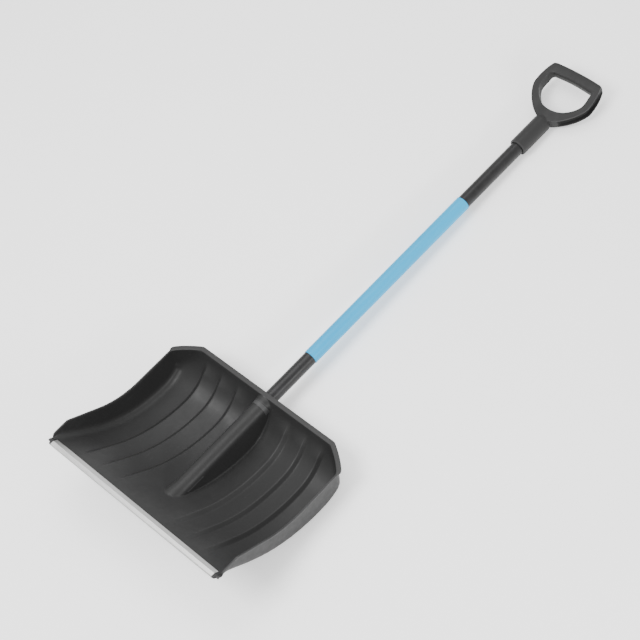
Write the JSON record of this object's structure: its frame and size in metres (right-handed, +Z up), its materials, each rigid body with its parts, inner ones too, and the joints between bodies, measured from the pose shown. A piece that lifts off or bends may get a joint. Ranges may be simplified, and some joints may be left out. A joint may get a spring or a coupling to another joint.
{
  "type": "snow shovel",
  "caption": "Wide moulded snow scoop with fluted floor and metal wear edge, on a straight sleeved tube with a D-grip.",
  "frame": {"origin": "on the ground under the middle of the bounding box, with the shovel lying on its back", "axes": "+Y along the shovel from the metal edge to the D-grip, +Z up out of the open side of the scoop, +X to the right"},
  "size_m": [0.53, 1.4428, 0.1602],
  "materials": {
    "blade_plastic": "fine-grained moulded polypropylene, dark grey",
    "edge_aluminium": "brushed extrusion, lightly worn",
    "tube_paint": "satin black powder coat",
    "sleeve_plastic": "satin light blue plastic",
    "grip_plastic": "fine-grained moulded plastic, dark grey",
    "plug_plastic": "smooth black plastic",
    "screw_steel": "zinc plated"
  },
  "bodies": {
    "root": {"blade": "blade_plastic", "wear_strip": "edge_aluminium", "wear_strip_screws": "screw_steel", "shaft_tube": "tube_paint", "shaft_sleeve": "sleeve_plastic", "tube_foot_plug": "plug_plastic", "blade_screw_washers": "screw_steel", "blade_screws": "screw_steel", "d_grip": "grip_plastic", "grip_screw": "screw_steel"}
  },
  "joints": []
}
